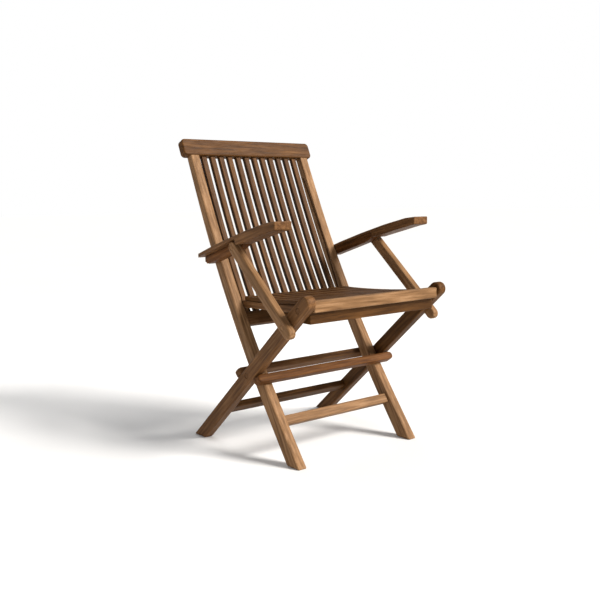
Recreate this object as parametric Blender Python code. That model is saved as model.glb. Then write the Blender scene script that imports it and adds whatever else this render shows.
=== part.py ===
"""Folding garden armchair in teak, modelled piece by piece.

Metres, +Z up, the feet stand on z = 0, -Y is the front, and left and right are
as seen from in front, +X to the right.  Side-view sizes are measured from a plane
FRONT_PLANE ahead of the middle of the chair, so that the chair is centred.
"""
import math

import bmesh
import bpy

# ---------------------------------------------------------------- main sizes
BACK_HEIGHT = 0.9015        # floor to the upper front edge of the top rail
FRAME_WIDTH = 0.452         # over the two back posts
FRONT_PLANE = 0.3543        # side-view zero to the middle of the chair
GAP = 0.0003                # clearance of every fitted or touching face

# back posts: bent laths that run from the front feet to the top rail
POST_THICK = 0.030
POST_FOOT = 0.1191          # front edge of the foot
POST_LEAN = 37.2            # degrees from vertical at the foot
BACK_LEAN = 24.0            # degrees from vertical at the top
BEND_FROM = -0.05
BEND_TO = 0.90
POST_DEPTH_FOOT = 0.042
POST_DEPTH_SEAT = 0.0335
POST_DEPTH_TOP = 0.0245
SEAT_LEVEL = 0.45

# outer legs: straight, from the rear feet to the front of the seat
LEG_THICK = 0.0287
LEG_WIDTH = 0.0397
LEG_FOOT = 0.5971           # rear edge of the foot
LEG_LEAN = 48.21            # degrees from vertical
LEG_ABOVE = 0.339           # crossing pivot to the centre of the round top
LEG_GAP = 0.0022            # between post and leg, filled by a washer

# top rail and lower back rail
TOP_RAIL_LENGTH = 0.491
TOP_RAIL_HEIGHT = 0.054
TOP_RAIL_THICK = 0.027
TOP_RAIL_CORNER = 0.012
LOW_RAIL_TOP = 0.402
LOW_RAIL_HEIGHT = 0.042
LOW_RAIL_THICK = 0.020

# back slats
BACK_SLATS = 12
BACK_SLAT_WIDTH = 0.0187
BACK_SLAT_THICK = 0.013
BACK_SLAT_SET = 0.003       # rear face of the slats ahead of the posts' rear
SLAT_TENON = 0.012
POST_TENON = 0.030
POST_TENON_THICK = 0.012

# cross bars
MID_BAR_CLEAR = 0.0010      # each bar clear of the member it would stop against
FRONT_BAR_HEIGHT = 0.0235   # along the post
FRONT_BAR_THICK = 0.030
REAR_BAR_HEIGHT = 0.032     # along the leg
REAR_BAR_THICK = 0.020
MID_BAR_CORNER = 0.011
FRONT_STRETCHER_TOP = 0.1300
FRONT_STRETCHER_HEIGHT = 0.028
FRONT_STRETCHER_SET = 0.009
REAR_STRETCHER_TOP = 0.1110
REAR_STRETCHER_HEIGHT = 0.035
STRETCHER_THICK = 0.020
STRETCHER_TENON = 0.012
TENON_SHOULDER = 0.005

# seat
SEAT_FRONT = 0.045
SEAT_REAR = 0.405
SEAT_TOP_FRONT = 0.4625
SEAT_TOP_REAR = 0.440
SEAT_DISH = 0.006
SEAT_SLATS = 10
SEAT_SLAT_THICK = 0.012
SEAT_SLAT_GAP = 0.0085
FRONT_RAIL_THICK = 0.018
FRONT_RAIL_HEIGHT = 0.0305
UNDER_RAIL_THICK = 0.033
UNDER_RAIL_FOOT = 0.400
SIDE_RAIL_CLEAR = 0.0030    # side rail to the outermost back slat
SIDE_RAIL_DEPTH = 0.026
CROSS_RAIL_THICK = 0.027
CROSS_RAIL_DEPTH = 0.019
REAR_RAIL_AT = 0.3585
MID_RAIL_AT = 0.225
SEAT_PIVOT = 0.310          # crossing pivot to seat pivot, along the leg
SEAT_PIN_LEVEL = 0.415
SEAT_PIN_SET = 0.0074       # pin behind the middle of the post at rest
SEAT_TURN = 1.83            # seat turn per leg turn, against the leg
FOLD_TURN = 57.0            # degrees the legs turn to fold

# arms and struts
ARM_LIP = 0.009
ARM_THICK = 0.0255
ARM_NOSE = 0.023
ARM_DEPTH = 0.0335          # lip and cleat together
ARM_FRONT = 0.136
ARM_END = 0.520
ARM_SHOULDER = 0.3225       # front of the recess for the strut
ARM_SIDE = 0.005            # arm beyond the strut
ARM_INSET = 0.0009          # arm clear of the post
CLEAT_END = 0.514
ARM_CORNER = 0.022
ARM_PIVOT = (0.5004, 0.5380)
STRUT_THICK = 0.022
STRUT_WIDTH = 0.031
STRUT_FOOT = (0.0995, 0.3775)
STRUT_TOP = (0.3400, 0.5877)
STRUT_PIVOT_UP = 0.0215     # foot centre to lower pivot, along the strut

# fasteners
BOLT = 0.0035
BOLT_HEAD = 0.0085
BOLT_HEAD_THICK = 0.004
PIVOT_BOLT = 0.004
SCREW = 0.0028
PIN = 0.004
HOLE = 0.0003               # bore beyond shank, on the radius
SEGMENTS = 20

# ------------------------------------------------------------- derived sizes
POST_OUT = FRAME_WIDTH / 2
POST_IN = POST_OUT - POST_THICK
LEG_IN = POST_OUT + LEG_GAP
LEG_OUT = LEG_IN + LEG_THICK
STRUT_IN = LEG_OUT + GAP
STRUT_OUT = STRUT_IN + STRUT_THICK
ARM_IN = POST_OUT + ARM_INSET
ARM_OUT = STRUT_OUT + ARM_SIDE
SIDE_RAIL_OUT = POST_IN - 2 * GAP
BACK_SLAT_SPACE = (2 * POST_IN - BACK_SLATS * BACK_SLAT_WIDTH) / (BACK_SLATS + 1)
SIDE_RAIL_THICK = BACK_SLAT_SPACE - 2 * GAP - SIDE_RAIL_CLEAR
SIDE_RAIL_IN = SIDE_RAIL_OUT - SIDE_RAIL_THICK
GROOVE_FLOOR = POST_IN + 0.0088
CUTTERS = []


# ------------------------------------------------------------ side-view maths
def turn(v, degrees):
    """A side-view vector (y, z) turned, + from +Y to +Z."""
    c = math.cos(math.radians(degrees))
    s = math.sin(math.radians(degrees))
    return (c * v[0] - s * v[1], s * v[0] + c * v[1])


def add(a, b, k=1.0):
    return (a[0] + k * b[0], a[1] + k * b[1])


def unit(v):
    length = math.hypot(*v)
    return (v[0] / length, v[1] / length)


def lean(z):
    """Lean of the post from vertical, in degrees, at height z."""
    t = (z - BEND_FROM) / (BEND_TO - BEND_FROM)
    t = min(max(t, 0.0), 1.0)
    return POST_LEAN + (BACK_LEAN - POST_LEAN) * t * t * (3 - 2 * t)


def front_of_post(z):
    """Front edge of the post at height z, by summing its slope."""
    steps = 60
    total = 0.0
    for i in range(steps):
        total += math.tan(math.radians(lean(z * (i + 0.5) / steps)))
    return (POST_FOOT + total * z / steps, z)


def along_post(z):
    """Unit vector up the post at height z."""
    a = math.radians(lean(z))
    return (math.sin(a), math.cos(a))


def behind_post(z):
    """Unit vector square to the post, to the rear."""
    a = math.radians(lean(z))
    return (math.cos(a), -math.sin(a))


def post_depth(z):
    if z < SEAT_LEVEL:
        t = z / SEAT_LEVEL
        return POST_DEPTH_FOOT + (POST_DEPTH_SEAT - POST_DEPTH_FOOT) * t
    t = (z - SEAT_LEVEL) / (BACK_HEIGHT - SEAT_LEVEL)
    return POST_DEPTH_SEAT + (POST_DEPTH_TOP - POST_DEPTH_SEAT) * t


def in_post(z, offset):
    """The point that lies offset behind the front edge point at height z."""
    return add(front_of_post(z), behind_post(z), offset)


def level_in_post(z, middle_offset):
    """The point at height z, offset in Y from the middle of the post."""
    half = post_depth(z) / 2 / math.cos(math.radians(lean(z)))
    return (front_of_post(z)[0] + half + middle_offset, z)


def crossing():
    """Where the middle lines of post and leg cross: the main pivot."""
    slope = math.tan(math.radians(LEG_LEAN))
    half = LEG_WIDTH / 2 / math.cos(math.radians(LEG_LEAN))
    low, high = 0.05, 0.45
    for _ in range(40):
        z = (low + high) / 2
        if level_in_post(z, 0)[0] < LEG_FOOT - half - slope * z:
            low = z
        else:
            high = z
    return level_in_post(low, 0)


CROSS = crossing()
LEG_DIR = (-math.sin(math.radians(LEG_LEAN)), math.cos(math.radians(LEG_LEAN)))
LEG_UP = (LEG_DIR[1], -LEG_DIR[0])
SEAT_HINGE = add(CROSS, LEG_DIR, SEAT_PIVOT)
SEAT_PIN = level_in_post(SEAT_PIN_LEVEL, SEAT_PIN_SET)
STRUT_DIR = (STRUT_TOP[0] - STRUT_FOOT[0], STRUT_TOP[1] - STRUT_FOOT[1])
STRUT_SPAN = math.hypot(*STRUT_DIR)
STRUT_DIR = (STRUT_DIR[0] / STRUT_SPAN, STRUT_DIR[1] / STRUT_SPAN)
STRUT_PIVOT = add(STRUT_FOOT, STRUT_DIR, STRUT_PIVOT_UP)
TOP_Z = BACK_HEIGHT - TOP_RAIL_HEIGHT * math.cos(math.radians(lean(BACK_HEIGHT)))


def pin_at(t):
    """Place of the seat's slide pin when the fold is t of its range."""
    fold = FOLD_TURN * t
    arm = turn(add(SEAT_PIN, SEAT_HINGE, -1), SEAT_TURN * fold)
    return add(CROSS, turn(add(add(arm, SEAT_HINGE), CROSS, -1), -fold))


def seat_top(y):
    t = (y - SEAT_FRONT) / (SEAT_REAR - SEAT_FRONT)
    straight = SEAT_TOP_FRONT + (SEAT_TOP_REAR - SEAT_TOP_FRONT) * t
    return straight - 4 * SEAT_DISH * t * (1 - t)


def arm_top(y):
    """Upper line of the arm: a gentle arch over a falling line."""
    chain = ((ARM_FRONT, 0.6625), (0.175, 0.6580), (0.265, 0.6365), (0.362, 0.6090),
             (0.457, 0.5795), (ARM_END, 0.5580))
    for a, b in zip(chain, chain[1:]):
        if y <= b[0]:
            return a[1] + (b[1] - a[1]) * (y - a[0]) / (b[0] - a[0])
    return chain[-1][1]


# ------------------------------------------------------------------ materials
def wood(name, colour, roughness=0.55):
    mat = bpy.data.materials.new(name)
    mat.use_nodes = True
    shader = mat.node_tree.nodes["Principled BSDF"]
    shader.inputs["Base Color"].default_value = (*colour, 1.0)
    shader.inputs["Roughness"].default_value = roughness
    shader.inputs["Metallic"].default_value = 0.0
    mat.diffuse_color = (*colour, 1.0)
    return mat


def metal(name, colour, roughness=0.35):
    mat = wood(name, colour, roughness)
    mat.node_tree.nodes["Principled BSDF"].inputs["Metallic"].default_value = 1.0
    return mat


# --------------------------------------------------------------- mesh helpers
def finish(name, bm, pivot, material, rounding=0.0, steps=2):
    """Turn a bmesh in chair coordinates into an object with its origin at
    the side-view point pivot, its long edges rounded."""
    bmesh.ops.recalc_face_normals(bm, faces=bm.faces)
    if bm.calc_volume(signed=True) < 0:
        bmesh.ops.reverse_faces(bm, faces=bm.faces)
    origin = (0.0, pivot[0] - FRONT_PLANE, pivot[1])
    for v in bm.verts:
        v.co.y -= FRONT_PLANE + origin[1]
        v.co.z -= origin[2]
    mesh = bpy.data.meshes.new(name)
    bm.to_mesh(mesh)
    bm.free()
    if material:
        mesh.materials.append(material)
    mesh.shade_smooth()
    mesh.set_sharp_from_angle(angle=math.radians(35))
    obj = bpy.data.objects.new(name, mesh)
    obj.location = origin
    bpy.context.scene.collection.objects.link(obj)
    if rounding:
        mod = obj.modifiers.new("Rounding", "BEVEL")
        mod.width = rounding
        mod.segments = steps
        mod.limit_method = "ANGLE"
        mod.angle_limit = math.radians(40)
    return obj


def add_prism(bm, outline, x0, x1):
    """Closed side-view outline, extruded from x0 to x1."""
    verts = [bm.verts.new((x0, y, z)) for y, z in outline]
    face = bm.faces.new(verts)
    grown = bmesh.ops.extrude_face_region(bm, geom=[face])
    moved = [g for g in grown["geom"] if isinstance(g, bmesh.types.BMVert)]
    bmesh.ops.translate(bm, verts=moved, vec=(x1 - x0, 0, 0))


def prism(name, outline, x0, x1, pivot, material, rounding=0.0, steps=2):
    bm = bmesh.new()
    add_prism(bm, outline, min(x0, x1), max(x0, x1))
    return finish(name, bm, pivot, material, rounding, steps)


def bar(name, outline, corner, up, back, thick, pivot, material, rounding):
    """Outline (x, height) in the plane of a leaning board, extruded to the
    rear by its thickness.  corner is the side-view point of its zero."""
    bm = bmesh.new()
    verts = []
    for x, h in outline:
        point = add(corner, up, h)
        verts.append(bm.verts.new((x, point[0], point[1])))
    face = bm.faces.new(verts)
    grown = bmesh.ops.extrude_face_region(bm, geom=[face])
    moved = [g for g in grown["geom"] if isinstance(g, bmesh.types.BMVert)]
    bmesh.ops.translate(bm, verts=moved, vec=(0, back[0] * thick, back[1] * thick))
    return finish(name, bm, pivot, material, rounding)


def soft_section(section, inset, radius, steps=2):
    """The four corners of a leaning rectangle, moved in and rounded."""
    corners = inner_section(section, inset)
    points = []
    for i, corner in enumerate(corners):
        before, after = corners[i - 1], corners[(i + 1) % 4]
        back = unit(add(before, corner, -1))
        on = unit(add(after, corner, -1))
        middle = add(add(corner, back, radius), on, radius)
        for j in range(steps + 1):
            a = math.radians(90 * j / steps)
            side = add((0.0, 0.0), on, -math.cos(a))
            points.append(add(middle, add(side, back, -math.sin(a)), radius))
    return points


def tenoned(name, section, reach, pivot, material, rounding):
    """A rail between two posts with a stub tenon at each end."""
    body = soft_section(section, 0.0, rounding)
    tenon = soft_section(section, TENON_SHOULDER, 0.0005)
    ends = reach + STRETCHER_TENON
    rings = ((-ends, tenon), (-reach, tenon), (-reach, body), (reach, body),
             (reach, tenon), (ends, tenon))
    bm = bmesh.new()
    loops = [[bm.verts.new((x, y, z)) for y, z in ring] for x, ring in rings]
    count = len(body)
    for a, b in zip(loops, loops[1:]):
        for i in range(count):
            j = (i + 1) % count
            bm.faces.new((a[i], a[j], b[j], b[i]))
    bm.faces.new(loops[0])
    bm.faces.new(loops[-1])
    return finish(name, bm, pivot, material)


def rounded_rect(x0, x1, h0, h1, r, steps=5):
    points = []
    corners = ((x1 - r, h0 + r, -90), (x1 - r, h1 - r, 0),
               (x0 + r, h1 - r, 90), (x0 + r, h0 + r, 180))
    for cx, ch, start in corners:
        for i in range(steps + 1):
            a = math.radians(start + 90 * i / steps)
            points.append((cx + r * math.cos(a), ch + r * math.sin(a)))
    return points


def box_section(corner, up, height, back, thick):
    """Four side-view corners of a leaning rectangle."""
    a = corner
    b = add(a, up, height)
    return [a, b, add(b, back, thick), add(a, back, thick)]


def arc(centre, radius, start, stop, steps):
    points = []
    for i in range(steps + 1):
        a = math.radians(start + (stop - start) * i / steps)
        points.append((centre[0] + radius * math.cos(a), centre[1] + radius * math.sin(a)))
    return points


def cut(obj, name, shapes):
    """Cut prisms (outline, x0, x1) out of obj with one Boolean."""
    bm = bmesh.new()
    for outline, x0, x1 in shapes:
        add_prism(bm, outline, min(x0, x1), max(x0, x1))
    tool = finish("cut_" + name, bm, (FRONT_PLANE, 0.0), None)
    tool.hide_render = True
    tool.display_type = "WIRE"
    CUTTERS.append(tool)
    mod = obj.modifiers.new("Cut_" + name, "BOOLEAN")
    mod.operation = "DIFFERENCE"
    mod.solver = "EXACT"
    mod.object = tool


def circle(centre, radius, steps=SEGMENTS):
    return arc(centre, radius, 0, 360 - 360 / steps, steps - 1)


def bolt(name, centre, side, head_at, head, shank_to, shank, pivot, material):
    """Bolt along X: head outer face at head_at, shank end at shank_to, both
    measured from the middle of the chair on one side."""
    bm = bmesh.new()
    rings = ((head_at, head), (head_at - BOLT_HEAD_THICK, head),
             (head_at - BOLT_HEAD_THICK, shank), (shank_to, shank))
    loops = []
    for x, r in rings:
        loops.append([bm.verts.new((side * x, y, z)) for y, z in circle(centre, r)])
    for a, b in zip(loops, loops[1:]):
        for i in range(SEGMENTS):
            j = (i + 1) % SEGMENTS
            bm.faces.new((a[i], a[j], b[j], b[i]))
    bm.faces.new(loops[0])
    bm.faces.new(loops[-1])
    return finish(name, bm, pivot, material)


# ------------------------------------------------------------------ the frame
def post_outline():
    z_top = TOP_Z + POST_TENON * math.cos(math.radians(BACK_LEAN))
    heights = [z_top * i / 22 for i in range(23)]
    front = [front_of_post(z) for z in heights]
    rear = [in_post(z, post_depth(z)) for z in heights]
    foot_rear = (POST_FOOT + post_depth(0) / math.cos(math.radians(lean(0))), 0.0)
    rear = [foot_rear] + [p for p in rear if p[1] > 0.004]
    return front + rear[::-1]


def groove_outline(radius):
    """Capsule along the path of the slide pin."""
    count = 16
    path = [pin_at(i / count) for i in range(count + 1)]
    left, right = [], []
    for i, p in enumerate(path):
        a = path[max(i - 1, 0)]
        b = path[min(i + 1, count)]
        length = math.hypot(b[0] - a[0], b[1] - a[1])
        n = (-(b[1] - a[1]) / length, (b[0] - a[0]) / length)
        left.append(add(p, n, radius))
        right.append(add(p, n, -radius))
    head = math.degrees(math.atan2(path[-1][1] - path[-2][1], path[-1][0] - path[-2][0]))
    tail = math.degrees(math.atan2(path[1][1] - path[0][1], path[1][0] - path[0][0]))
    top = arc(path[-1], radius, head - 90, head + 90, 8)[1:-1]
    bottom = arc(path[0], radius, tail + 90, tail + 270, 8)[1:-1]
    return right + top + left[::-1] + bottom


def post_cheeks():
    """The wood taken off in front of and behind the post's tenon."""
    up, back = along_post(BACK_HEIGHT), behind_post(BACK_HEIGHT)
    shoulder = add(top_rail_corner(), up, -GAP)
    keep0 = (post_depth(TOP_Z) - POST_TENON_THICK) / 2
    keep1 = keep0 + POST_TENON_THICK
    front = box_section(add(shoulder, back, -0.03), up, 0.08, back, 0.03 + keep0)
    rear = box_section(add(shoulder, back, keep1), up, 0.08, back, 0.04)
    return front, rear


def top_rail_corner():
    """Lower front corner of the top rail."""
    z = BACK_HEIGHT
    return add(front_of_post(z), along_post(z), -TOP_RAIL_HEIGHT)


def slat_section(z0, z1, grow, count=9):
    """Side-view outline of a back slat between two heights on the post."""
    heights = [z0 + (z1 - z0) * i / count for i in range(count + 1)]
    face = [in_post(z, post_depth(z) - BACK_SLAT_SET - BACK_SLAT_THICK - grow)
            for z in heights]
    rear = [in_post(z, post_depth(z) - BACK_SLAT_SET + grow) for z in heights]
    return face + rear[::-1]


def slat_centres():
    room = 2 * POST_IN - BACK_SLATS * BACK_SLAT_WIDTH
    gap = room / (BACK_SLATS + 1)
    first = -POST_IN + gap + BACK_SLAT_WIDTH / 2
    return [first + i * (gap + BACK_SLAT_WIDTH) for i in range(BACK_SLATS)]


def slat_ends():
    low = LOW_RAIL_TOP - 0.010 - SLAT_TENON * math.cos(math.radians(lean(LOW_RAIL_TOP)))
    high = TOP_Z + SLAT_TENON * math.cos(math.radians(BACK_LEAN)) - 0.004
    return low, high


def low_rail_section():
    z = LOW_RAIL_TOP
    top = in_post(z, post_depth(z) - 0.001 - LOW_RAIL_THICK)
    corner = add(top, along_post(z), -LOW_RAIL_HEIGHT)
    return box_section(corner, along_post(z), LOW_RAIL_HEIGHT, behind_post(z),
                       LOW_RAIL_THICK)


def front_stretcher_section():
    z = FRONT_STRETCHER_TOP
    top = in_post(z, FRONT_STRETCHER_SET)
    corner = add(top, along_post(z), -FRONT_STRETCHER_HEIGHT)
    return box_section(corner, along_post(z), FRONT_STRETCHER_HEIGHT, behind_post(z),
                       STRETCHER_THICK)


def rear_stretcher_section():
    z = REAR_STRETCHER_TOP
    slope = math.tan(math.radians(LEG_LEAN))
    half = LEG_WIDTH / 2 / math.cos(math.radians(LEG_LEAN))
    middle = (LEG_FOOT - half - slope * z, z)
    corner = add(add(middle, LEG_UP, -0.005), LEG_DIR, -REAR_STRETCHER_HEIGHT)
    return box_section(corner, LEG_DIR, REAR_STRETCHER_HEIGHT, LEG_UP, STRETCHER_THICK)


def inner_section(section, inset):
    """Section moved inwards, for a mortise; negative inset grows it."""
    cy = sum(p[0] for p in section) / 4
    cz = sum(p[1] for p in section) / 4
    u = add(section[1], section[0], -1)
    v = add(section[3], section[0], -1)
    hu, hv = math.hypot(*u) / 2, math.hypot(*v) / 2
    u = (u[0] / hu / 2, u[1] / hu / 2)
    v = (v[0] / hv / 2, v[1] / hv / 2)
    points = []
    for a, b in ((-1, -1), (1, -1), (1, 1), (-1, 1)):
        point = add((cy, cz), u, a * (hu - inset))
        points.append(add(point, v, b * (hv - inset)))
    return points


def build_posts(material):
    for name, side in (("left", -1), ("right", 1)):
        post = prism(name + "_post", post_outline(), side * POST_IN, side * POST_OUT,
                     CROSS, material, 0.004)
        front, rear = post_cheeks()
        x0, x1 = side * (POST_IN - 0.01), side * (POST_OUT + 0.01)
        cut(post, name + "_tenon", [(front, x0, x1), (rear, x0, x1)])
        shapes = [(groove_outline(PIN + HOLE), x0, side * GROOVE_FLOOR)]
        depth = side * (POST_IN + STRETCHER_TENON + GAP)
        for section in (low_rail_section(), front_stretcher_section()):
            shapes.append((inner_section(section, TENON_SHOULDER - GAP), x0, depth))
        shapes.append((circle(CROSS, PIVOT_BOLT + HOLE), side * (POST_OUT - 0.0243), x1))
        shapes.append((circle(ARM_PIVOT, SCREW + HOLE), side * (GROOVE_FLOOR + 0.003), x1))
        cut(post, name + "_bores", shapes)


def build_top_rail(material):
    z = BACK_HEIGHT
    half = TOP_RAIL_LENGTH / 2
    outline = rounded_rect(-half, half, 0.0, TOP_RAIL_HEIGHT, TOP_RAIL_CORNER)
    corner = top_rail_corner()
    up, back = along_post(z), behind_post(z)
    rail = bar("top_rail", outline, corner, up, back, TOP_RAIL_THICK, corner,
               material, 0.004)
    below = add(corner, up, -0.01)
    keep = (post_depth(TOP_Z) - POST_TENON_THICK) / 2 - GAP
    tenon = box_section(add(below, back, keep), up, 0.01 + POST_TENON + 0.001, back,
                        POST_TENON_THICK + 2 * GAP)
    shapes = []
    for side in (-1, 1):
        shapes.append((tenon, side * (POST_IN - GAP), side * (POST_OUT + GAP)))
    low, high = slat_ends()
    pocket = slat_section(TOP_Z - 0.030, high + 0.0006, GAP, 4)
    for x in slat_centres():
        w = BACK_SLAT_WIDTH / 2 + GAP
        shapes.append((pocket, x - w, x + w))
    cut(rail, "top_rail_mortises", shapes)


def build_lower_back_rail(material):
    reach = POST_IN - GAP
    rail = tenoned("lower_back_rail", low_rail_section(), reach,
                   low_rail_section()[1], material, 0.003)
    low, high = slat_ends()
    pocket = slat_section(low - 0.0006, LOW_RAIL_TOP + 0.02, GAP, 4)
    shapes = []
    for x in slat_centres():
        w = BACK_SLAT_WIDTH / 2 + GAP
        shapes.append((pocket, x - w, x + w))
    cut(rail, "lower_back_rail_mortises", shapes)


def build_back_slats(materials):
    low, high = slat_ends()
    outline = slat_section(low, high, 0.0)
    for i, x in enumerate(slat_centres()):
        prism("back_slat_%02d" % (i + 1), outline, x - BACK_SLAT_WIDTH / 2,
              x + BACK_SLAT_WIDTH / 2, in_post(low, post_depth(low)),
              materials[i % len(materials)], 0.002, 1)


def bar_below(along, out, off, face, half):
    """How far below the crossing a bar starts, measured along its own member.

    The bar's near edge is off to the out side of that member, and it stays
    MID_BAR_CLEAR beyond the face of the other member: face is that member's
    outward normal and half its half width.
    """
    across = along[0] * face[0] + along[1] * face[1]
    shift = out[0] * face[0] + out[1] * face[1]
    return (off * shift - half - MID_BAR_CLEAR) / across


def build_front_bars(material):
    z = CROSS[1]
    up, back = along_post(z), behind_post(z)
    off = post_depth(z) / 2 + 2 * GAP
    below = bar_below(up, (-back[0], -back[1]), off, (-LEG_UP[0], -LEG_UP[1]),
                      LEG_WIDTH / 2)
    lower = add(CROSS, up, -below - FRONT_BAR_HEIGHT)
    lower = add(lower, back, -off - FRONT_BAR_THICK)
    outline = rounded_rect(-LEG_OUT, LEG_OUT, 0.0, FRONT_BAR_HEIGHT, MID_BAR_CORNER)
    bar("front_mid_bar", outline, lower, up, back, FRONT_BAR_THICK, CROSS, material,
        0.004)
    reach = POST_IN - GAP
    tenoned("front_stretcher", front_stretcher_section(), reach,
            front_stretcher_section()[1], material, 0.003)


def build_legs(material):
    top = add(CROSS, LEG_DIR, LEG_ABOVE)
    half = LEG_WIDTH / 2
    run = half / math.cos(math.radians(LEG_LEAN))
    start = math.degrees(math.atan2(LEG_UP[1], LEG_UP[0]))
    outline = [(LEG_FOOT - 2 * run, 0.0), (LEG_FOOT, 0.0)]
    outline += arc(top, half, start, start + 180, 10)
    rear = rear_stretcher_section()
    for name, side in (("left", -1), ("right", 1)):
        leg = prism(name + "_rear_leg", outline, side * LEG_IN, side * LEG_OUT, CROSS,
                    material, 0.004)
        x0, x1 = side * (LEG_IN - 0.01), side * (LEG_OUT + 0.01)
        sink = side * (LEG_OUT - BOLT_HEAD_THICK - 2 * GAP)
        shapes = [(inner_section(rear, TENON_SHOULDER - GAP), x0,
                   side * (LEG_IN + STRETCHER_TENON + GAP))]
        shapes.append((circle(STRUT_PIVOT, BOLT + HOLE), side * (LEG_OUT - 0.0223), x1))
        cut(leg, name + "_leg_mortise", shapes)
        shapes = [(circle(CROSS, PIVOT_BOLT + HOLE), x0, x1)]
        shapes.append((circle(SEAT_HINGE, BOLT + HOLE), x0, x1))
        cut(leg, name + "_leg_bores", shapes)
        shapes = [(circle(CROSS, BOLT_HEAD + HOLE), sink, x1)]
        shapes.append((circle(SEAT_HINGE, BOLT_HEAD + HOLE), sink, x1))
        cut(leg, name + "_leg_sinks", shapes)


def build_rear_bars(material):
    off = LEG_WIDTH / 2 + 2 * GAP
    behind = behind_post(CROSS[1])
    below = bar_below(LEG_DIR, LEG_UP, off, behind, post_depth(CROSS[1]) / 2)
    lower = add(CROSS, LEG_DIR, -below - REAR_BAR_HEIGHT)
    lower = add(lower, LEG_UP, off)
    outline = rounded_rect(-LEG_OUT, LEG_OUT, 0.0, REAR_BAR_HEIGHT, MID_BAR_CORNER)
    bar("rear_mid_bar", outline, lower, LEG_DIR, LEG_UP, REAR_BAR_THICK, CROSS,
        material, 0.004)
    reach = LEG_IN - GAP
    tenoned("rear_stretcher", rear_stretcher_section(), reach, CROSS, material, 0.003)


def build_frame_bolts(material):
    for name, side in (("left", -1), ("right", 1)):
        head = LEG_OUT - GAP
        bolt(name + "_crossing_bolt", CROSS, side, head, BOLT_HEAD, POST_OUT - 0.024,
             PIVOT_BOLT, CROSS, material)
        bolt(name + "_seat_bolt", SEAT_HINGE, side, head, BOLT_HEAD, LEG_IN - 0.030,
             BOLT, CROSS, material)
        bolt(name + "_strut_bolt", STRUT_PIVOT, side, STRUT_OUT - GAP, BOLT_HEAD,
             LEG_OUT - 0.022, BOLT, CROSS, material)
        washer = prism(name + "_crossing_washer", circle(CROSS, 0.012),
                       side * (POST_OUT + GAP), side * (LEG_IN - GAP), CROSS, material)
        cut(washer, name + "_washer_hole",
            [(circle(CROSS, PIVOT_BOLT + HOLE), side * POST_IN, side * LEG_OUT)])


# ------------------------------------------------------------------- the seat
def build_seat_rails(material):
    front = SEAT_FRONT
    rear = front + FRONT_RAIL_THICK
    reach = LEG_IN - GAP
    z1 = SEAT_TOP_FRONT
    z0 = z1 - FRONT_RAIL_HEIGHT
    section = [(front, z0), (rear, z0), (rear, z1), (front, z1)]
    prism("seat_front_rail", section, -reach, reach, SEAT_HINGE, material, 0.003)
    y0 = rear + GAP
    y1 = y0 + UNDER_RAIL_THICK
    top = seat_top(y1) - SEAT_SLAT_THICK - GAP
    section = [(y0, UNDER_RAIL_FOOT), (y1, UNDER_RAIL_FOOT), (y1, top), (y0, top)]
    under = prism("seat_under_rail", section, -reach, reach, SEAT_HINGE, material, 0.002)
    shapes = []
    for side in (-1, 1):
        hole = circle(SEAT_HINGE, BOLT + HOLE)
        shapes.append((hole, side * (LEG_IN - 0.0303), side * (LEG_OUT)))
    cut(under, "under_rail_bores", shapes)


def build_cross_rail(name, middle, material):
    y0 = middle - CROSS_RAIL_THICK / 2
    y1 = middle + CROSS_RAIL_THICK / 2
    low = min(seat_top(y0), seat_top(y1), seat_top(middle)) - SEAT_SLAT_THICK - GAP
    section = [(y0, low - CROSS_RAIL_DEPTH), (y1, low - CROSS_RAIL_DEPTH), (y1, low),
               (y0, low)]
    reach = SIDE_RAIL_IN - GAP
    prism(name, section, -reach, reach, SEAT_HINGE, material, 0.002)


def side_rail_outline():
    y0 = SEAT_FRONT + FRONT_RAIL_THICK + GAP + UNDER_RAIL_THICK + GAP
    y1 = SEAT_REAR - 0.002
    under = SEAT_SLAT_THICK + GAP
    count = 8
    ys = [y0 + (y1 - y0) * i / count for i in range(count + 1)]
    top = [(y, seat_top(y) - under) for y in ys]
    nose = arc(SEAT_PIN, 0.009, 75, -95, 10)
    foot = (y0, top[0][1] - SIDE_RAIL_DEPTH)
    return top + nose + [foot]


def build_side_rails(material, steel):
    for name, side in (("left", -1), ("right", 1)):
        rail = prism("seat_side_rail_" + name, side_rail_outline(), side * SIDE_RAIL_IN,
                     side * SIDE_RAIL_OUT, SEAT_HINGE, material, 0.0015, 1)
        cut(rail, name + "_pin_hole", [(circle(SEAT_PIN, PIN + HOLE), side * 0.1,
                                        side * POST_OUT)])
        prism(name + "_slide_pin", circle(SEAT_PIN, PIN), side * (SIDE_RAIL_IN + GAP),
              side * (GROOVE_FLOOR - GAP), SEAT_HINGE, steel)


def build_seat_slats(materials):
    room = 2 * (POST_IN - 0.0035) - (SEAT_SLATS - 1) * SEAT_SLAT_GAP
    width = room / SEAT_SLATS
    y0 = SEAT_FRONT + FRONT_RAIL_THICK + GAP
    count = 8
    ys = [y0 + (SEAT_REAR - y0) * i / count for i in range(count + 1)]
    top = [(y, seat_top(y)) for y in ys]
    low = [(y, seat_top(y) - SEAT_SLAT_THICK) for y in ys]
    x = -(POST_IN - 0.0035)
    for i in range(SEAT_SLATS):
        prism("seat_slat_%02d" % (i + 1), low + top[::-1], x, x + width, SEAT_HINGE,
              materials[i % len(materials)], 0.002, 1)
        x += width + SEAT_SLAT_GAP


# ------------------------------------------------------------ arms and struts
def arm_normal():
    slope = (arm_top(0.457) - arm_top(0.362)) / (0.457 - 0.362)
    length = math.hypot(1.0, slope)
    return (slope / length, -1.0 / length)


def lip_underside():
    """Front and rear ends of the straight underside of the arm's rear half."""
    down = arm_normal()
    step = add((ARM_SHOULDER, arm_top(ARM_SHOULDER)), down, ARM_LIP)
    ends = add((ARM_END, arm_top(ARM_END)), down, ARM_LIP)
    return step, ends


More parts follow.
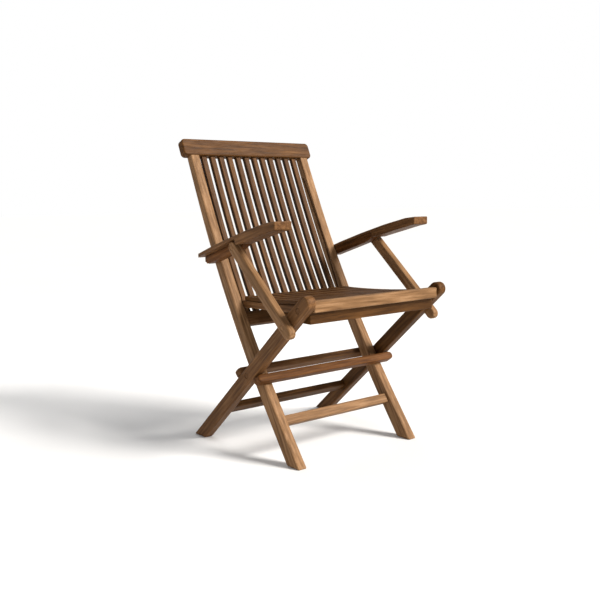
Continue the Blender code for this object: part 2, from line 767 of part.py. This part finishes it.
def arm_outline():
    down = arm_normal()
    ys = [ARM_FRONT, 0.155, 0.175, 0.220, 0.265, 0.315, 0.362, 0.457, ARM_END]
    top = [(y, arm_top(y)) for y in ys]
    nose = add(top[0], (0.0, -1.0), ARM_NOSE)
    chin = add((0.172, arm_top(0.172)), down, ARM_THICK)
    shoulder = add((ARM_SHOULDER, arm_top(ARM_SHOULDER)), down, ARM_THICK)
    step, ends = lip_underside()
    return [nose] + top + [ends, step, shoulder, chin]


def cleat_outline():
    down = arm_normal()
    y0 = ARM_SHOULDER + GAP
    step, ends = lip_underside()
    run = unit(add(ends, step, -1))
    corner = add(add(step, run, GAP), down, GAP)
    top0 = add(corner, run, 0.004)
    side0 = add(corner, down, 0.004)
    top1 = add(add(ends, run, CLEAT_END - ARM_END), down, GAP)
    low1 = add((CLEAT_END - 0.012, arm_top(CLEAT_END - 0.012)), down, ARM_DEPTH)
    low0 = add((y0 + 0.030, arm_top(y0 + 0.030)), down, ARM_DEPTH)
    front = add((y0, arm_top(y0)), down, ARM_THICK)
    heel = add(top1, (0.0, -1.0), 0.014)
    return [side0, top0, top1, heel, low1, low0, front]


def build_arms(material, steel):
    for name, side in (("left", -1), ("right", 1)):
        arm = prism(name + "_arm", arm_outline(), side * ARM_IN, side * ARM_OUT,
                    ARM_PIVOT, material, 0.003)
        cut_corner(arm, name, side)
        cleat = prism(name + "_arm_cleat", cleat_outline(), side * ARM_IN,
                      side * LEG_OUT, ARM_PIVOT, material, 0.0015, 1)
        sink = LEG_OUT - BOLT_HEAD_THICK - 2 * GAP
        shapes = [(circle(ARM_PIVOT, SCREW + HOLE), side * POST_IN, side * STRUT_OUT)]
        shapes.append((circle(STRUT_TOP, 0.005 + HOLE), side * (LEG_OUT - 0.0103),
                       side * STRUT_OUT))
        cut(cleat, name + "_cleat_bores", shapes)
        cut(cleat, name + "_cleat_sink",
            [(circle(ARM_PIVOT, 0.0058 + HOLE), side * sink, side * STRUT_OUT)])
        bolt(name + "_arm_screw", ARM_PIVOT, side, LEG_OUT - GAP, 0.0058,
             GROOVE_FLOOR + 0.0035, SCREW, ARM_PIVOT, steel)
        prism(name + "_arm_insert", circle(STRUT_TOP, 0.005), side * (LEG_OUT - 0.010),
              side * (LEG_OUT - GAP), ARM_PIVOT, steel)


def cut_corner(arm, name, side):
    """Round the outer rear corner of the arm, seen from above."""
    r = ARM_CORNER
    y1 = ARM_END + 0.010
    bm = bmesh.new()
    centre = (side * (ARM_OUT - r), ARM_END - r)
    points = []
    for i in range(7):
        a = math.radians(90 * i / 6)
        points.append((centre[0] + side * r * math.cos(a), centre[1] + r * math.sin(a)))
    points += [(centre[0], y1), (side * (ARM_OUT + 0.01), y1),
               (side * (ARM_OUT + 0.01), centre[1])]
    verts = [bm.verts.new((x, y, 0.45)) for x, y in points]
    face = bm.faces.new(verts)
    grown = bmesh.ops.extrude_face_region(bm, geom=[face])
    moved = [g for g in grown["geom"] if isinstance(g, bmesh.types.BMVert)]
    bmesh.ops.translate(bm, verts=moved, vec=(0, 0, 0.25))
    tool = finish("cut_" + name + "_arm_corner", bm, (FRONT_PLANE, 0.0), None)
    tool.hide_render = True
    tool.display_type = "WIRE"
    mod = arm.modifiers.new("Corner", "BOOLEAN")
    mod.operation = "DIFFERENCE"
    mod.solver = "EXACT"
    mod.object = tool


def build_struts(material, steel):
    half = STRUT_WIDTH / 2
    heading = math.degrees(math.atan2(STRUT_DIR[1], STRUT_DIR[0]))
    outline = arc(STRUT_TOP, half, heading - 90, heading + 90, 10)
    outline += arc(STRUT_FOOT, half, heading + 90, heading + 270, 10)
    for name, side in (("left", -1), ("right", 1)):
        strut = prism(name + "_strut", outline, side * STRUT_IN, side * STRUT_OUT,
                      STRUT_PIVOT, material, 0.004)
        x0, x1 = side * (STRUT_IN - 0.01), side * (STRUT_OUT + 0.01)
        sink = side * (STRUT_OUT - BOLT_HEAD_THICK - 2 * GAP)
        ends = (STRUT_PIVOT, STRUT_TOP)
        cut(strut, name + "_strut_bores", [(circle(p, BOLT + HOLE), x0, x1) for p in ends])
        cut(strut, name + "_strut_sinks",
            [(circle(p, BOLT_HEAD + HOLE), sink, x1) for p in ends])
        bolt(name + "_strut_top_bolt", STRUT_TOP, side, STRUT_OUT - GAP, BOLT_HEAD,
             STRUT_IN + GAP, BOLT, STRUT_PIVOT, steel)


def main():
    for obj in list(bpy.data.objects):
        bpy.data.objects.remove(obj, do_unlink=True)
    teak = wood("Teak", (0.36, 0.19, 0.085))
    warm = wood("Teak_warm", (0.40, 0.20, 0.085))
    dark = wood("Teak_dark", (0.27, 0.135, 0.06))
    brass = metal("Brass", (0.62, 0.46, 0.22))
    steel = metal("Steel", (0.55, 0.55, 0.56))
    build_posts(teak)
    build_top_rail(warm)
    build_lower_back_rail(teak)
    build_back_slats((teak, dark, warm))
    build_front_bars(warm)
    build_legs(teak)
    build_rear_bars(warm)
    build_frame_bolts(brass)
    build_seat_rails(warm)
    build_cross_rail("seat_rear_rail", REAR_RAIL_AT, teak)
    build_cross_rail("seat_middle_rail", MID_RAIL_AT, teak)
    build_side_rails(teak, steel)
    build_seat_slats((teak, warm, dark))
    build_arms(warm, brass)
    build_struts(teak, brass)


main()
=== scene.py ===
"""Looks of a folding teak armchair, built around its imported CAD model.

Metres, +Z up, the chair's front faces -Y.  The CAD nodes carry all shapes; here
each one gets its own oiled teak, with the grain along the piece, and the sunk
bolts are redrawn with the wooden plugs that cover them.
"""
import math

import bmesh
import bpy
from mathutils import Matrix, Vector


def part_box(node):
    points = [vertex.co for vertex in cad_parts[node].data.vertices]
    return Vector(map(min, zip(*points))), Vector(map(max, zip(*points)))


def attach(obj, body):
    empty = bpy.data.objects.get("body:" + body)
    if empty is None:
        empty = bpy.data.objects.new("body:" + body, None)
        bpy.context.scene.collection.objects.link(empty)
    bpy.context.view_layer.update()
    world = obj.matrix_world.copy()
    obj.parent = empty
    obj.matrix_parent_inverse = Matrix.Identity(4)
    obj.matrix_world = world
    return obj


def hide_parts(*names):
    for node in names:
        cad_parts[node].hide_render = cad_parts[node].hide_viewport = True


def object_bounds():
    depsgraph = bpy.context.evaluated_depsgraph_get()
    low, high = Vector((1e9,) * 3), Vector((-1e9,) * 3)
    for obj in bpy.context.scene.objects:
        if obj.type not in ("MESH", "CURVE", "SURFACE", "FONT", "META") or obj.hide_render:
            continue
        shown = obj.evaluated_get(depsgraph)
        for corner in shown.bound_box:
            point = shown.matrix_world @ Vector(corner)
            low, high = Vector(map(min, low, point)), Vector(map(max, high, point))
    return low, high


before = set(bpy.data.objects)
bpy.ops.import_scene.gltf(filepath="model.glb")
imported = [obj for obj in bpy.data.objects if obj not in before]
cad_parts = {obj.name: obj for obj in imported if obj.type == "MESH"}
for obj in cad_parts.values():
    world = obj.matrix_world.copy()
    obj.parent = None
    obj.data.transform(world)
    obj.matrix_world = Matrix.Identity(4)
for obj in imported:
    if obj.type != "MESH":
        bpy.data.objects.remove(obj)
CAD_LOW, CAD_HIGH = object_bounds()

# ------------------------------------------------------------------- settings
# camera: place, turn about Z, height angle and roll in degrees, focal length
CAMERA_AT = (-1.5143, -1.8588, 0.7268)
CAMERA_AZIMUTH = -38.642
CAMERA_ELEVATION = 7.370
CAMERA_ROLL = -0.551
SENSOR = 36.0
FOCAL_MM = 48.47

# key light, a wide sun: azimuth, elevation, spread in degrees, strength
KEY_LIGHT = (32.0, 34.0, 22.0, 5.6)
WARM_WHITE = (1.0, 0.965, 0.92)
# soft boxes as (azimuth, elevation, distance, size, watts)
FILL_LIGHT = (-75.0, 25.0, 3.2, 2.2, 7.0)
REAR_LIGHT = (170.0, 35.0, 3.2, 2.2, 30.0)
WORLD_LIGHT = 0.36
WORLD_SEEN = 1.0            # the pale backdrop itself
FLOOR_GREY = 0.80

# oiled teak as (pore and late wood, body, light wood), linear colours
TAN = ((0.085, 0.040, 0.016), (0.235, 0.128, 0.060), (0.385, 0.232, 0.128))
BROWN = ((0.045, 0.019, 0.007), (0.140, 0.066, 0.026), (0.245, 0.128, 0.056))
REDDISH = ((0.032, 0.011, 0.003), (0.120, 0.047, 0.014), (0.210, 0.092, 0.030))
DARK = ((0.024, 0.009, 0.002), (0.085, 0.036, 0.010), (0.160, 0.074, 0.024))

SLAT_SIDE_SHADE = 0.9             # painted shade on the side faces of the back slats: how far they go dark

# teak figure: noise scales, on wood that is stretched along its grain
ALONG_GRAIN = 0.6
ACROSS_GRAIN = 11.0
BEND_SCALE = 1.6
BEND_DEPTH = 0.14
RING_SCALE = 14.0
STREAK_SCALE = 46.0
PORE_SCALE = 150.0
PORE_LENGTHEN = 0.35
PATCH_SCALE = 5.5
FLECK_MIX = 0.42
PORE_MIX = 0.55
EDGE_RADIUS = 0.0028        # handled edges, rounded in the shading
# how far the edges go lighter: partly wear, partly a painted highlight
EDGE_WEAR_AND_HIGHLIGHT = 0.38
WOOD_SHINE = 0.10

METAL_SCALE = 260.0         # patches on the fittings; scratches are 9 times finer

# plug over each sunk bolt: depth, play round it, height and edge of its dome
PLUG_THICK = 0.0022
PLUG_PLAY = 0.0002
PLUG_DOME = 0.00025
PLUG_EDGE_DEPTH = 0.0003
PLUG_EDGE_WIDTH = 0.0004
# bolt head, as depths below its top: underside, start and end of its rim
HEAD_UNDER = 0.0019
HEAD_RIM_LOW = 0.0017
HEAD_RIM_HIGH = 0.0004
BOLT_SIDES = 40

FLOOR_HALF = 30.0
FLOOR_GAP = 0.0005          # keeps the feet from lying in the floor's plane


# ------------------------------------------------------------------ materials
class Graph:
    """Short names for making and joining shader nodes."""

    def __init__(self, name):
        self.material = bpy.data.materials.new(name)
        self.material.use_nodes = True
        self.tree = self.material.node_tree
        self.tree.nodes.clear()

    def node(self, kind, inputs=None, **settings):
        made = self.tree.nodes.new(kind)
        for key, value in settings.items():
            setattr(made, key, value)
        for key, value in (inputs or {}).items():
            self.put(made.inputs[key], value)
        return made

    def put(self, socket, value):
        if isinstance(value, bpy.types.NodeSocket):
            self.tree.links.new(value, socket)
        else:
            socket.default_value = value

    def maths(self, operation, a, b=0.0):
        made = self.node("ShaderNodeMath", operation=operation)
        self.put(made.inputs[0], a)
        self.put(made.inputs[1], b)
        return made.outputs[0]

    def spread(self, value, low, high, to_low=0.0, to_high=1.0):
        """Value from low..high mapped to to_low..to_high, and held at the ends."""
        made = self.node("ShaderNodeMapRange", {"Value": value}, clamp=True)
        for key, number in (("From Min", low), ("From Max", high),
                            ("To Min", to_low), ("To Max", to_high)):
            made.inputs[key].default_value = number
        return made.outputs[0]

    def noise(self, vector, scale, detail, roughness=0.55):
        made = self.node("ShaderNodeTexNoise", {
            "Vector": vector, "Scale": scale, "Detail": detail,
            "Roughness": roughness})
        return made.outputs["Fac"]

    def vector(self, operation, a, b, output="Vector"):
        made = self.node("ShaderNodeVectorMath", {0: a, 1: b}, operation=operation)
        return made.outputs[output]

    def mix(self, factor, a, b):
        made = self.node("ShaderNodeMix", data_type="RGBA")
        self.put(made.inputs[0], factor)
        self.put(made.inputs[6], a)
        self.put(made.inputs[7], b)
        return made.outputs[2]

    def surface(self, shader):
        out = self.node("ShaderNodeOutputMaterial")
        self.tree.links.new(shader.outputs[0], out.inputs["Surface"])
        return self.material


def opaque(colour):
    return (*colour, 1.0)


def teak(name, tones, slope, seed, side_shade_amount=0.0):
    """Oiled teak.  slope: None for grain along X, or degrees up from +Y.

    The last argument, 0 to 1, paints shade on the faces that look along X. It darkens them
    towards the dark tone, as the sides of the back slats lie in shade.
    """
    g = Graph(name)
    coordinates = g.node("ShaderNodeTexCoord")
    place = coordinates.outputs["Object"]
    if slope is None:
        stretch = (ALONG_GRAIN, ACROSS_GRAIN, ACROSS_GRAIN)
        lengthen = (PORE_LENGTHEN, 1.0, 1.0)
    else:
        place = g.node("ShaderNodeVectorRotate", {
            "Vector": place, "Angle": math.radians(90.0 - slope)},
            rotation_type="X_AXIS").outputs[0]
        stretch = (ACROSS_GRAIN, ACROSS_GRAIN, ALONG_GRAIN)
        lengthen = (1.0, 1.0, PORE_LENGTHEN)
    # a cut from another part of the plank for every piece
    shift = (0.37 * seed % 7.0, 0.61 * seed % 5.0, 0.83 * seed % 3.0)
    moved = g.vector("ADD", place, shift)
    fibre = g.vector("MULTIPLY", moved, stretch)

    bend = g.vector("MULTIPLY", g.noise(fibre, BEND_SCALE, 3.0), (BEND_DEPTH,) * 3)
    wavy = g.vector("ADD", fibre, bend)
    rings = g.noise(wavy, RING_SCALE, 5.0, 0.62)
    streaks = g.noise(wavy, STREAK_SCALE, 4.0, 0.6)
    pores = g.noise(g.vector("MULTIPLY", wavy, lengthen), PORE_SCALE, 2.0, 0.5)
    patches = g.noise(moved, PATCH_SCALE, 3.0)

    dark, body, light = tones
    ramp = g.node("ShaderNodeValToRGB", {"Fac": rings})
    ramp.color_ramp.elements[0].position = 0.30
    ramp.color_ramp.elements[0].color = opaque(dark)
    ramp.color_ramp.elements[1].position = 0.74
    ramp.color_ramp.elements[1].color = opaque(light)
    middle = ramp.color_ramp.elements.new(0.52)
    middle.color = opaque(body)
    fleck = g.spread(streaks, 0.36, 0.66)
    colour = g.mix(g.maths("MULTIPLY", fleck, FLECK_MIX), ramp.outputs[0],
                   opaque(body))
    pore_mask = g.spread(pores, 0.60, 0.72)
    colour = g.mix(g.maths("MULTIPLY", pore_mask, PORE_MIX), colour, opaque(dark))
    tint = g.spread(patches, 0.30, 0.70, 0.80, 1.16)
    tinted = g.node("ShaderNodeHueSaturation", {
        "Color": colour, "Value": tint, "Saturation": 1.03})

    # handled edges go lighter: partly wear where the oil rubs off, partly a painted
    # highlight along every edge
    soft = g.node("ShaderNodeBevel", {"Radius": EDGE_RADIUS}, samples=6).outputs[0]
    true_normal = g.node("ShaderNodeNewGeometry").outputs["Normal"]
    edge = g.spread(g.vector("DOT_PRODUCT", soft, true_normal, "Value"), 0.992, 0.90)
    ragged = g.maths("MULTIPLY", edge, g.spread(streaks, 0.35, 0.6))
    wear_and_highlight = g.maths("MULTIPLY", ragged, EDGE_WEAR_AND_HIGHLIGHT)
    colour = g.mix(wear_and_highlight, tinted.outputs[0], opaque(light))
    # painted shade: faces that look along X go darker towards the dark tone
    if side_shade_amount:
        split = g.node("ShaderNodeSeparateXYZ",
                       {"Vector": coordinates.outputs["Normal"]})
        shaded_side_mask = g.spread(g.maths("ABSOLUTE", split.outputs["X"]), 0.55, 0.85)
        colour = g.mix(g.maths("MULTIPLY", shaded_side_mask, side_shade_amount), colour,
                       opaque(dark))

    height = g.maths("SUBTRACT", g.maths("MULTIPLY", rings, 0.5),
                     g.maths("MULTIPLY", pore_mask, 0.8))
    rough = g.spread(streaks, 0.3, 0.7, 0.42, 0.60)
    rough = g.maths("ADD", rough, g.maths("MULTIPLY", pore_mask, 0.14))
    bump = g.node("ShaderNodeBump", {"Height": height, "Normal": soft,
                                     "Strength": 0.35, "Distance": 0.0006})
    shader = g.node("ShaderNodeBsdfPrincipled", {
        "Base Color": colour, "Roughness": rough, "Normal": bump.outputs[0],
        "Specular IOR Level": WOOD_SHINE})
    return g.surface(shader)


def metal(name, clean, dull):
    """Turned metal that has dulled in patches, with fine scratches."""
    g = Graph(name)
    place = g.node("ShaderNodeTexCoord").outputs["Object"]
    patches = g.noise(place, METAL_SCALE, 4.0)
    scratches = g.noise(place, METAL_SCALE * 9.0, 2.0)
    colour = g.mix(g.spread(patches, 0.35, 0.7), opaque(clean), opaque(dull))
    rough = g.spread(patches, 0.3, 0.7, 0.24, 0.48)
    bump = g.node("ShaderNodeBump", {"Height": scratches, "Strength": 0.15,
                                     "Distance": 0.0001})
    shader = g.node("ShaderNodeBsdfPrincipled", {
        "Base Color": colour, "Roughness": rough, "Normal": bump.outputs[0],
        "Metallic": 1.0})
    return g.surface(shader)


def floor_paint(name):
    """Matt pale paint with hardly any cloud in it."""
    g = Graph(name)
    place = g.node("ShaderNodeTexCoord").outputs["Object"]
    cloud = g.noise(place, 1.5, 2.0)
    grey = g.spread(cloud, 0.3, 0.7, FLOOR_GREY - 0.008, FLOOR_GREY)
    rough = g.spread(cloud, 0.3, 0.7, 0.85, 0.92)
    shader = g.node("ShaderNodeBsdfPrincipled", {
        "Base Color": grey, "Roughness": rough, "Specular IOR Level": 0.1})
    return g.surface(shader)


# ---------------------------------------------------------- grain and colours
def grain_angle(node):
    """Direction of a long piece in the side view, in degrees up from +Y.

    It is the main axis of the spread of the node's corners.
    """
    points = [v.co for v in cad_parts[node].data.vertices]
    ys = [p.y for p in points]
    zs = [p.z for p in points]
    my, mz = sum(ys) / len(ys), sum(zs) / len(zs)
    yy = sum((y - my) ** 2 for y in ys)
    zz = sum((z - mz) ** 2 for z in zs)
    yz = sum((y - my) * (z - mz) for y, z in zip(ys, zs))
    return math.degrees(0.5 * math.atan2(2.0 * yz, yy - zz))


def runs_across(node):
    """Whether a piece is longest along X."""
    low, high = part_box(node)
    size = high - low
    return size.x > max(size.y, size.z)


# the first word found in a node's name decides its teak
TONES = (
    ("top_rail", DARK), ("lower_back_rail", BROWN), ("back_slat", DARK),
    ("front_mid_bar", REDDISH), ("rear_mid_bar", BROWN), ("front_stretcher", TAN),
    # painted shade: the right rear leg gets the dark tone and the left one brown, as its
    # inner face lies in shade
    ("rear_stretcher", DARK), ("right_rear_leg", DARK), ("rear_leg", BROWN), ("post", TAN),
    # painted shade: the seat's under rail, in shade under the front rail, gets the dark
    # tone
    ("seat_front_rail", TAN), ("seat_under_rail", DARK), ("seat_slat", DARK),
    ("seat_side_rail", BROWN), ("seat_", BROWN), ("arm_cleat", REDDISH), ("arm", BROWN),
    ("strut", TAN),
)
BRASS = metal("Brass", (0.62, 0.43, 0.20), (0.36, 0.23, 0.10))
STEEL = metal("Steel", (0.55, 0.55, 0.54), (0.30, 0.29, 0.28))
METAL_WORDS = ("bolt", "washer", "screw", "insert", "pin")


def tones_for(node):
    for word, tones in TONES:
        if word in node:
            return tones
    return BROWN


def finish_nodes():
    """A finish for every CAD node: metal for fittings, its own teak for wood."""
    for seed, (node, piece) in enumerate(sorted(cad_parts.items())):
        if any(word in node for word in METAL_WORDS):
            material = STEEL if "pin" in node or "washer" in node else BRASS
        else:
            angle = None if runs_across(node) else grain_angle(node)
            # painted shade on the side faces of the back slats
            painted_slat_shade = SLAT_SIDE_SHADE if "back_slat" in node else 0.0
            material = teak("Teak_" + node, tones_for(node), angle, seed + 1.0, painted_slat_shade)
        for slot in piece.material_slots:
            slot.material = material


# --------------------------------------------------------------- bolts, plugs
def turned(name, profile, centre, side, material, body):
    """A turned solid about X: profile is (x, radius) pairs from end to end."""
    mesh = bpy.data.meshes.new(name)
    bm = bmesh.new()
    rings = []
    for x, radius in profile:
        ring = []
        for i in range(BOLT_SIDES):
            a = math.tau * i / BOLT_SIDES
            ring.append(bm.verts.new((side * x, centre[0] + radius * math.cos(a),
                                      centre[1] + radius * math.sin(a))))
        rings.append(ring)
    for first, second in zip(rings, rings[1:]):
        for i in range(BOLT_SIDES):
            j = (i + 1) % BOLT_SIDES
            bm.faces.new((first[i], first[j], second[j], second[i]))
    bm.faces.new(rings[0])
    bm.faces.new(rings[-1])
    bmesh.ops.recalc_face_normals(bm, faces=bm.faces)
    bm.to_mesh(mesh)
    bm.free()
    piece = bpy.data.objects.new(name, mesh)
    bpy.context.scene.collection.objects.link(piece)
    mesh.materials.append(material)
    for polygon in mesh.polygons:
        polygon.use_smooth = len(polygon.vertices) == 4
    mesh.set_sharp_from_angle(angle=math.radians(40))
    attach(piece, body)
    return piece


def round_ends(node):
    """Axis, head radius, and inner and outer |x| of a CAD bolt."""
    low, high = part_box(node)
    middle = ((low.y + high.y) / 2, (low.z + high.z) / 2)
    radius = (high.z - low.z) / 2
    ends = sorted((abs(low.x), abs(high.x)))
    return middle, radius, ends[0], ends[1]


def shank_radius(node, middle, head_radius):
    """Radius of a CAD bolt below its head."""
    radii = [math.hypot(v.co.y - middle[0], v.co.z - middle[1])
             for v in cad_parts[node].data.vertices]
    return max(r for r in radii if r < head_radius * 0.8)


def plugged_bolts():
    """A turned bolt in place of each sunk CAD bolt, and the wooden plug over it."""
    leg_plug = teak("Teak_leg_plug", BROWN, grain_angle("left_rear_leg"), 101.0)
    strut_plug = teak("Teak_strut_plug", TAN, grain_angle("left_strut"), 102.0)
    cleat_plug = teak("Teak_cleat_plug", REDDISH, grain_angle("left_arm_cleat"), 103.0)
    for name, body, finish in (("crossing_bolt", "back_frame", leg_plug),
                               ("arm_screw", "back_frame", cleat_plug),
                               ("seat_bolt", "rear_legs", leg_plug),
                               ("strut_bolt", "rear_legs", strut_plug),
                               ("strut_top_bolt", "{}_strut_link", strut_plug)):
        for hand, side in (("left", -1), ("right", 1)):
            node = hand + "_" + name
            middle, head, inner, outer = round_ends(node)
            shank = shank_radius(node, middle, head)
            top = outer - PLUG_THICK
            nose = 0.25 * shank
            wide = head - PLUG_PLAY
            bolt = turned(node + "_turned", [
                (inner, shank - nose), (inner + nose, shank),
                (top - HEAD_UNDER, shank), (top - HEAD_RIM_LOW, wide),
                (top - HEAD_RIM_HIGH, wide), (top, head - 3 * PLUG_PLAY)],
                middle, side, BRASS, body.format(hand))
            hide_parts(node)
            face = outer - 2 * PLUG_DOME
            plug = turned(node + "_plug", [
                (top + PLUG_PLAY, wide), (face - PLUG_EDGE_DEPTH, wide),
                (face, wide - PLUG_EDGE_WIDTH),
                (face + PLUG_DOME, wide * 0.6), (face + 1.4 * PLUG_DOME, wide * 0.25)],
                middle, side, finish, body.format(hand))


# --------------------------------------------------------------------- stage
def direction(azimuth, elevation):
    """Unit vector from the chair; azimuth 0 is its front, + turns to +X."""
    a, e = math.radians(azimuth), math.radians(elevation)
    return Vector((math.sin(a) * math.cos(e), -math.cos(a) * math.cos(e), math.sin(e)))


def soft_box(name, azimuth, elevation, distance, size, watts, aim):
    """A round area light that looks at aim."""
    data = bpy.data.lights.new(name, "AREA")
    data.shape = "DISK"
    data.size = size
    data.energy = watts
    light = bpy.data.objects.new(name, data)
    back = direction(azimuth, elevation)
    light.location = aim + back * distance
    light.rotation_euler = back.to_track_quat("Z", "Y").to_euler()
    bpy.context.scene.collection.objects.link(light)


def build_stage():
    aim = (CAD_LOW + CAD_HIGH) / 2
    for name, numbers in (("Fill", FILL_LIGHT), ("Rear", REAR_LIGHT)):
        soft_box(name, *numbers, aim)
    azimuth, elevation, spread, strength = KEY_LIGHT
    data = bpy.data.lights.new("Key", "SUN")
    data.energy = strength
    data.angle = math.radians(spread)
    data.color = WARM_WHITE
    key = bpy.data.objects.new("Key", data)
    key.rotation_euler = direction(azimuth, elevation).to_track_quat("Z", "Y").to_euler()
    bpy.context.scene.collection.objects.link(key)

    # the backdrop is seen brighter than it lights, so that shadows keep some depth
    world = bpy.data.worlds.new("Studio")
    world.use_nodes = True
    tree = world.node_tree
    shade = tree.nodes["Background"]
    shade.inputs["Color"].default_value = (1.0, 1.0, 1.0, 1.0)
    seen = tree.nodes.new("ShaderNodeMapRange")
    seen.inputs["To Min"].default_value = WORLD_LIGHT
    seen.inputs["To Max"].default_value = WORLD_SEEN
    path = tree.nodes.new("ShaderNodeLightPath")
    tree.links.new(path.outputs["Is Camera Ray"], seen.inputs["Value"])
    tree.links.new(seen.outputs[0], shade.inputs["Strength"])
    bpy.context.scene.world = world
    bpy.context.scene.view_settings.view_transform = "Standard"

    mesh = bpy.data.meshes.new("Floor")
    bm = bmesh.new()
    bmesh.ops.create_grid(bm, x_segments=8, y_segments=8, size=FLOOR_HALF)
    bm.to_mesh(mesh)
    bm.free()
    floor = bpy.data.objects.new("Floor", mesh)
    floor.location = (0.0, 0.0, CAD_LOW.z - FLOOR_GAP)
    mesh.materials.append(floor_paint("Pale_floor"))
    bpy.context.scene.collection.objects.link(floor)


def build_camera():
    back = direction(CAMERA_AZIMUTH, CAMERA_ELEVATION)
    azimuth = math.radians(CAMERA_AZIMUTH)
    right = Vector((math.cos(azimuth), math.sin(azimuth), 0.0))
    up = back.cross(right)
    roll = math.radians(CAMERA_ROLL)
    rolled_right = right * math.cos(roll) + up * math.sin(roll)
    rolled_up = up * math.cos(roll) - right * math.sin(roll)
    data = bpy.data.cameras.new("Camera")
    data.sensor_width = SENSOR
    data.lens = FOCAL_MM
    data.clip_start = 0.05
    data.clip_end = 100.0
    camera = bpy.data.objects.new("Camera", data)
    turn = Matrix((rolled_right, rolled_up, back)).transposed()
    camera.matrix_world = Matrix.Translation(CAMERA_AT) @ turn.to_4x4()
    bpy.context.scene.collection.objects.link(camera)
    bpy.context.scene.camera = camera


build_camera()
finish_nodes()
plugged_bolts()
build_stage()
